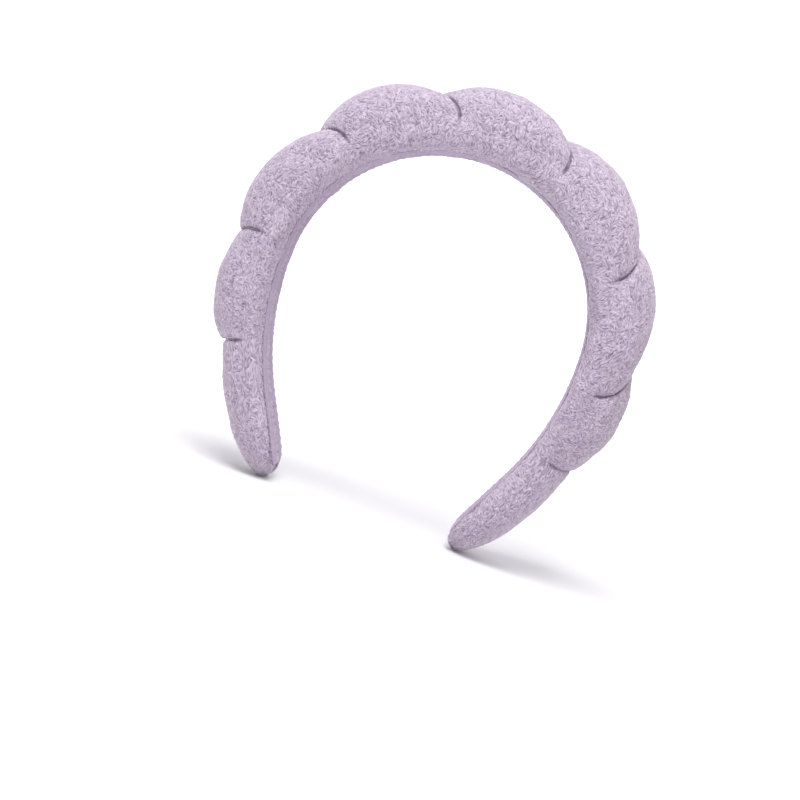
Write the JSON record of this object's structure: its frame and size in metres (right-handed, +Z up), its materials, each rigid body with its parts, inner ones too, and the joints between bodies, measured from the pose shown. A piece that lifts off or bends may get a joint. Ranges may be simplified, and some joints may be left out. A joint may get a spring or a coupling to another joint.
{
  "type": "padded spa headband",
  "caption": "Springy C-shaped headband in soft terry, its sponge padding pinched into rounded puffs, that holds hair back while the face is washed.",
  "frame": {"origin": "centre of the arc that the lining's inner face follows round the crown, halfway from front to back", "axes": "+Z up through the crown as worn, +X to the right in a front view, +Y from the front face to the back face, along the axis of the head arc"},
  "size_m": [0.1656, 0.036, 0.172],
  "materials": {
    "terry_cover": "matte",
    "lining_cloth": "matte",
    "sponge": "matte",
    "plastic_hoop": "satin",
    "sewing_thread": "satin"
  },
  "bodies": {
    "crown": {"cover_crown": "terry_cover", "foam_crown": "sponge", "hoop_crown": "plastic_hoop", "lining_crown": "lining_cloth", "closing_stitch_crown": "sewing_thread", "tuck_thread_left_1": "sewing_thread", "tuck_thread_right_1": "sewing_thread"},
    "left_puff_1": {"cover_left_puff_1": "terry_cover", "foam_left_puff_1": "sponge", "hoop_left_puff_1": "plastic_hoop", "lining_left_puff_1": "lining_cloth", "closing_stitch_left_puff_1": "sewing_thread", "tuck_thread_left_2": "sewing_thread"},
    "left_puff_2": {"cover_left_puff_2": "terry_cover", "foam_left_puff_2": "sponge", "hoop_left_puff_2": "plastic_hoop", "lining_left_puff_2": "lining_cloth", "closing_stitch_left_puff_2": "sewing_thread", "tuck_thread_left_3": "sewing_thread"},
    "left_puff_3": {"cover_left_puff_3": "terry_cover", "foam_left_puff_3": "sponge", "hoop_left_puff_3": "plastic_hoop", "lining_left_puff_3": "lining_cloth", "closing_stitch_left_puff_3": "sewing_thread", "tuck_thread_left_4": "sewing_thread"},
    "left_leg": {"cover_left_leg": "terry_cover", "foam_left_leg": "sponge", "hoop_left_leg": "plastic_hoop", "lining_left_leg": "lining_cloth", "closing_stitch_left_leg": "sewing_thread"},
    "right_puff_1": {"cover_right_puff_1": "terry_cover", "foam_right_puff_1": "sponge", "hoop_right_puff_1": "plastic_hoop", "lining_right_puff_1": "lining_cloth", "closing_stitch_right_puff_1": "sewing_thread", "tuck_thread_right_2": "sewing_thread"},
    "right_puff_2": {"cover_right_puff_2": "terry_cover", "foam_right_puff_2": "sponge", "hoop_right_puff_2": "plastic_hoop", "lining_right_puff_2": "lining_cloth", "closing_stitch_right_puff_2": "sewing_thread", "tuck_thread_right_3": "sewing_thread"},
    "right_puff_3": {"cover_right_puff_3": "terry_cover", "foam_right_puff_3": "sponge", "hoop_right_puff_3": "plastic_hoop", "lining_right_puff_3": "lining_cloth", "closing_stitch_right_puff_3": "sewing_thread", "tuck_thread_right_4": "sewing_thread"},
    "right_leg": {"cover_right_leg": "terry_cover", "foam_right_leg": "sponge", "hoop_right_leg": "plastic_hoop", "lining_right_leg": "lining_cloth", "closing_stitch_right_leg": "sewing_thread"}
  },
  "joints": [
    {"name": "left_flex_1", "type": "hinge", "parent": "crown", "child": "left_puff_1", "pos_m": [-0.01956, 0, 0.0602], "axis": [0, 1, 0], "range_deg": [-5, 8], "stiffness_Nm_per_rad": 0.48},
    {"name": "left_flex_2", "type": "hinge", "parent": "left_puff_1", "child": "left_puff_2", "pos_m": [-0.05055, 0, 0.03809], "axis": [0, 1, 0], "range_deg": [-4.25, 6.8], "stiffness_Nm_per_rad": 0.48},
    {"name": "left_flex_3", "type": "hinge", "parent": "left_puff_2", "child": "left_puff_3", "pos_m": [-0.06326, 0, 0.00221], "axis": [0, 1, 0], "range_deg": [-3, 4.8], "stiffness_Nm_per_rad": 0.48},
    {"name": "left_flex_4", "type": "hinge", "parent": "left_puff_3", "child": "left_leg", "pos_m": [-0.05838, 0, -0.03487], "axis": [0, 1, 0], "range_deg": [-1.5, 2.4], "stiffness_Nm_per_rad": 0.4},
    {"name": "right_flex_1", "type": "hinge", "parent": "crown", "child": "right_puff_1", "pos_m": [0.01956, 0, 0.0602], "axis": [0, -1, 0], "range_deg": [-5, 8], "stiffness_Nm_per_rad": 0.48},
    {"name": "right_flex_2", "type": "hinge", "parent": "right_puff_1", "child": "right_puff_2", "pos_m": [0.05055, 0, 0.03809], "axis": [0, -1, 0], "range_deg": [-4.25, 6.8], "stiffness_Nm_per_rad": 0.48},
    {"name": "right_flex_3", "type": "hinge", "parent": "right_puff_2", "child": "right_puff_3", "pos_m": [0.06326, 0, 0.00221], "axis": [0, -1, 0], "range_deg": [-3, 4.8], "stiffness_Nm_per_rad": 0.48},
    {"name": "right_flex_4", "type": "hinge", "parent": "right_puff_3", "child": "right_leg", "pos_m": [0.05838, 0, -0.03487], "axis": [0, -1, 0], "range_deg": [-1.5, 2.4], "stiffness_Nm_per_rad": 0.4}
  ],
  "couplings": [
    {"joint": "left_flex_2", "follows": "left_flex_1", "ratio": 0.85},
    {"joint": "left_flex_3", "follows": "left_flex_1", "ratio": 0.6},
    {"joint": "left_flex_4", "follows": "left_flex_1", "ratio": 0.3},
    {"joint": "right_flex_2", "follows": "right_flex_1", "ratio": 0.85},
    {"joint": "right_flex_3", "follows": "right_flex_1", "ratio": 0.6},
    {"joint": "right_flex_4", "follows": "right_flex_1", "ratio": 0.3}
  ]
}
